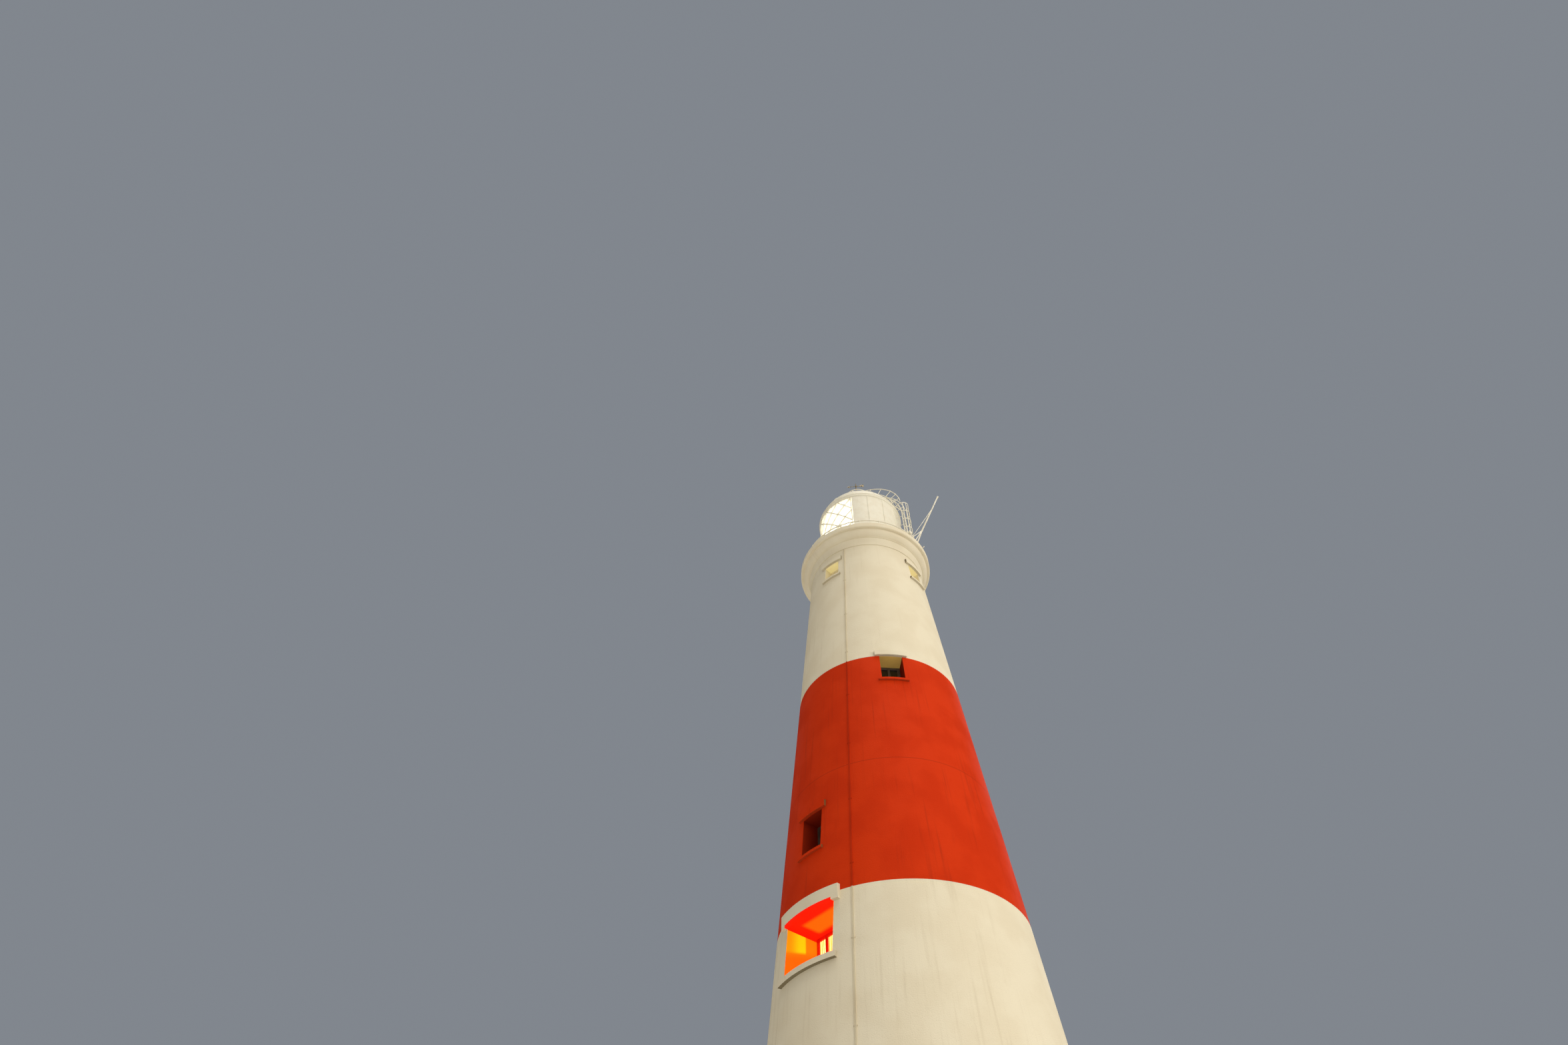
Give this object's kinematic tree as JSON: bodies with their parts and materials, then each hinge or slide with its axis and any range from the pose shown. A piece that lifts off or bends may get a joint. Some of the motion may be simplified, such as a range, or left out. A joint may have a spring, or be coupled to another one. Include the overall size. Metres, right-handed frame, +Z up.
{
  "type": "scale model of a lighthouse tower",
  "caption": "Half-size model of a round masonry lighthouse: white tapering tower with a red band, coved gallery, glazed and blanked lantern, caged roof ladder and leaning mast.",
  "frame": {"origin": "centre of the tower's base, on the ground", "axes": "+Z up the tower's axis; -Y faces the side the picture was taken from; +X to its right"},
  "size_m": [5.278, 5.278, 20.5003],
  "materials": {
    "white_render": "matt cream-white masonry paint, weathered in streaks",
    "red_render": "matt orange-red masonry paint",
    "floor_concrete": "trowelled",
    "low_light_paint": "gloss red in the light",
    "red_glass": "lit red pane",
    "frame_paint": "gloss",
    "window_glass": "dark clear",
    "door_paint": "painted",
    "white_metal": "semi-gloss white, rust at the joints",
    "lantern_paint": "semi-gloss white",
    "lantern_glass": "clear",
    "bronze": "dull",
    "pedestal_paint": "gloss green",
    "lens_glass": "lit prisms"
  },
  "bodies": {
    "root": {"lower_wall_front_right": "white_render", "lower_wall_back_right": "white_render", "lower_wall_back_left": "white_render", "lower_wall_front_left": "white_render", "upper_wall_front_right": "white_render", "upper_wall_back_right": "white_render", "upper_wall_back_left": "white_render", "upper_wall_front_left": "white_render", "cornice_front_right": "white_render", "cornice_back_right": "white_render", "cornice_back_left": "white_render", "cornice_front_left": "white_render", "band_wall_front_right": "red_render", "band_wall_back_right": "red_render", "band_wall_back_left": "red_render", "band_wall_front_left": "red_render", "entrance_floor": "floor_concrete", "low_light_floor": "floor_concrete", "watch_room_floor": "floor_concrete", "lantern_floor": "floor_concrete", "low_light_hood": "white_render", "low_light_sill": "white_render", "window_hoods": "white_render", "window_sills": "white_render", "low_light_frame": "low_light_paint", "low_light_glass": "red_glass", "window_frames": "frame_paint", "window_glass": "window_glass", "entrance_door_frame": "frame_paint", "entrance_door": "door_paint", "lightning_conductor": "white_metal", "gallery_rail": "white_metal", "lantern_wall": "lantern_paint", "lantern_blank_plates": "lantern_paint", "lantern_glazing_bars": "lantern_paint", "lantern_glass": "lantern_glass", "lantern_gutter": "lantern_paint", "lantern_dome": "lantern_paint", "ventilator": "lantern_paint", "wind_vane": "bronze", "lantern_ladder": "white_metal", "ladder_cage": "white_metal", "roof_handrails": "white_metal", "aerial_mast": "white_metal", "optic_pedestal": "pedestal_paint", "optic_lens": "lens_glass"}
  },
  "joints": []
}
